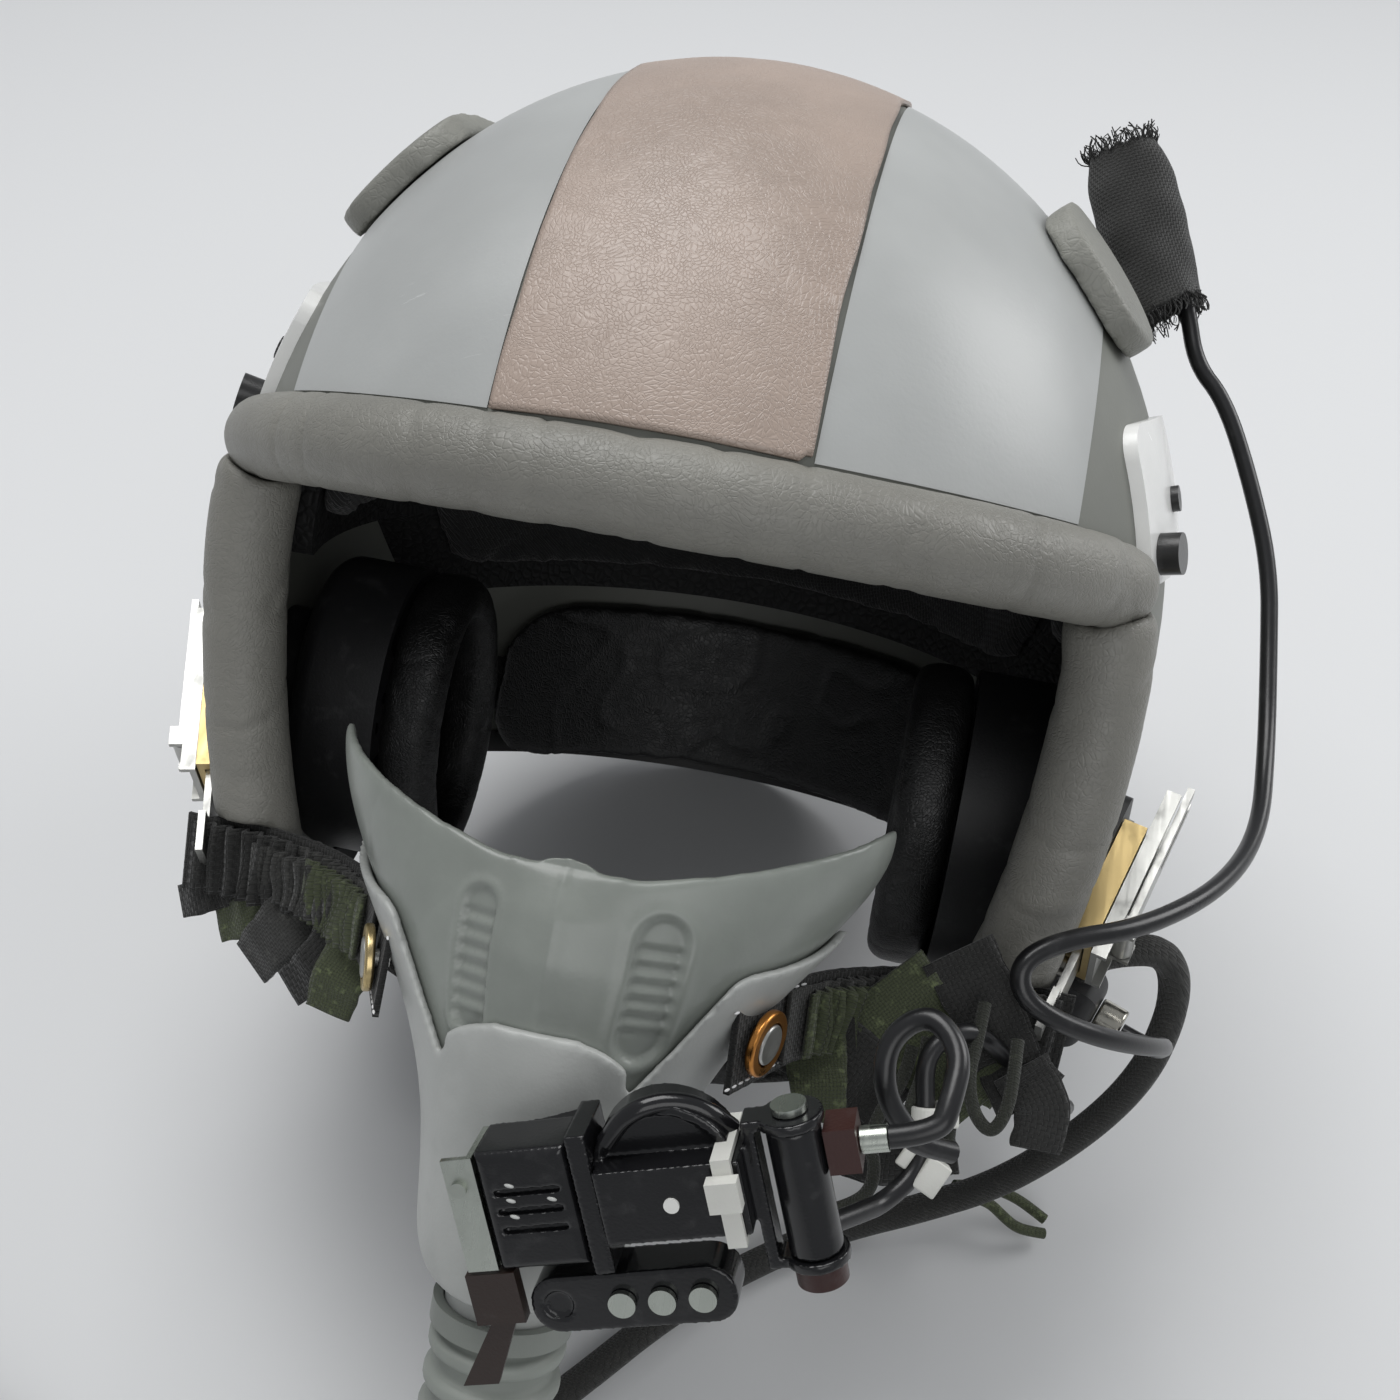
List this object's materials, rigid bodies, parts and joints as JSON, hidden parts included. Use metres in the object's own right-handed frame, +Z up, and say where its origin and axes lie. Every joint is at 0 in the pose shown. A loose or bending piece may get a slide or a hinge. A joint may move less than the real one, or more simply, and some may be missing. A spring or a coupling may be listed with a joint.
{
  "type": "pilot flight helmet",
  "caption": "Pale flight helmet leaning back with its oxygen mask, sprung mask receivers, corrugated breathing hose, fastening straps and communication cables",
  "frame": {"origin": "middle of the helmet and mask's box, on the floor under it, cords left out", "axes": "Z up, the face looks towards -Y and up, +X is the wearer's left"},
  "size_m": [0.4816, 0.5349, 0.2878],
  "materials": {
    "shell_paint": "satin",
    "roll_leather": "satin",
    "patch_leather": "satin",
    "panel_grey": "satin",
    "black_rubber": "matte",
    "grey_rubber": "matte",
    "foam": "matte",
    "comfort_cloth": "matte",
    "black_plastic": "satin",
    "black_leather": "satin",
    "webbing": "matte",
    "white_plate": "gloss",
    "steel": "brushed",
    "brass": "satin",
    "copper": "satin",
    "brown_plastic": "satin",
    "white_mark": "matte",
    "mask_plastic": "satin"
  },
  "bodies": {
    "helmet": {"helmet_shell": "shell_paint", "rim_bead": "black_rubber", "brow_roll": "roll_leather", "side_rolls": "roll_leather", "foam_liner": "foam", "comfort_liner": "comfort_cloth", "ear_cups": "black_plastic", "ear_seals": "black_leather", "earphones": "black_plastic", "ear_spacers": "black_plastic", "nape_pad": "roll_leather", "nape_straps": "webbing", "chin_strap": "webbing", "chin_pad": "black_leather", "crown_patch": "patch_leather", "crown_panels": "panel_grey", "side_pads": "white_plate", "side_plates": "white_plate", "shell_studs": "black_plastic", "receiver_bases": "black_plastic", "receiver_bodies": "brass", "receiver_rails": "steel", "receiver_screws": "steel", "comm_block": "black_plastic", "coupling_nut": "steel", "cable_sleeve": "webbing", "sleeve_strap": "webbing", "slim_cable": "black_rubber", "main_cable": "black_rubber", "main_plug": "black_plastic"},
    "mask": {"mask_shell": "mask_plastic", "facepiece": "grey_rubber", "neck_ring": "black_plastic", "valve_seats": "mask_plastic", "microphone": "black_plastic", "mask_ring_left": "copper", "mask_ring_right": "brass", "mask_screws": "steel", "mask_straps": "comfort_cloth", "unit_box": "black_plastic", "unit_head": "black_plastic", "unit_dot": "white_mark", "unit_bar": "black_plastic", "hinge_tube": "black_plastic", "unit_brown_pieces": "brown_plastic", "unit_steel_pieces": "steel", "unit_buckle": "brown_plastic", "unit_mount": "black_plastic", "zip_tie": "white_mark", "loop_cable_high": "black_rubber", "breathing_hose": "grey_rubber", "hose_end": "black_plastic", "loop_cable_low": "black_rubber"},
    "bayonet_left": {"bayonet_left": "steel"},
    "bayonet_right": {"bayonet_right": "steel"},
    "lever_left": {"release_lever_left": "steel"},
    "lever_right": {"release_lever_right": "steel"},
    "inhale_disc": {"inhale_valve": "grey_rubber"},
    "exhale_disc": {"exhale_valve": "grey_rubber"},
    "collar": {"hose_collar": "black_plastic"}
  },
  "joints": [
    {"name": "mask_slide", "type": "slide", "parent": "helmet", "child": "mask", "axis": [0, -0.9659, -0.2588], "range_m": [0, 0.008], "deforming": ["mask_straps", "loop_cable_low", "loop_cable_high", "breathing_hose"]},
    {"name": "bayonet_left_slide", "type": "slide", "parent": "helmet", "child": "bayonet_left", "axis": [-0.2909, -0.9242, -0.2476], "range_m": [0, 0.008]},
    {"name": "bayonet_right_slide", "type": "slide", "parent": "helmet", "child": "bayonet_right", "axis": [0.2909, -0.9242, -0.2476], "range_m": [0, 0.008]},
    {"name": "lever_left_hinge", "type": "hinge", "parent": "helmet", "child": "lever_left", "pos_m": [0.12497, -0.03974, 0.12794], "axis": [0.1182, 0.2221, -0.9678], "range_deg": [0, 18], "stiffness_Nm_per_rad": 0.05},
    {"name": "lever_right_hinge", "type": "hinge", "parent": "helmet", "child": "lever_right", "pos_m": [-0.12497, -0.03974, 0.12794], "axis": [0.1182, -0.2221, 0.9678], "range_deg": [0, 18], "stiffness_Nm_per_rad": 0.05},
    {"name": "inhale_lift", "type": "slide", "parent": "mask", "child": "inhale_disc", "axis": [0, 0.5, 0.866], "range_m": [0, 0.002], "stiffness_N_per_m": 30, "springref_m": -0.001},
    {"name": "exhale_lift", "type": "slide", "parent": "mask", "child": "exhale_disc", "axis": [0, -0.866, 0.5], "range_m": [0, 0.002], "stiffness_N_per_m": 30, "springref_m": -0.001},
    {"name": "collar_turn", "type": "hinge", "parent": "mask", "child": "collar", "pos_m": [0.25062, -0.27203, 0.0159], "axis": [0.7424, 0.6699, 0], "continuous": true}
  ],
  "couplings": [
    {"joint": "bayonet_left_slide", "follows": "mask_slide", "ratio": 1},
    {"joint": "bayonet_right_slide", "follows": "mask_slide", "ratio": 1}
  ]
}
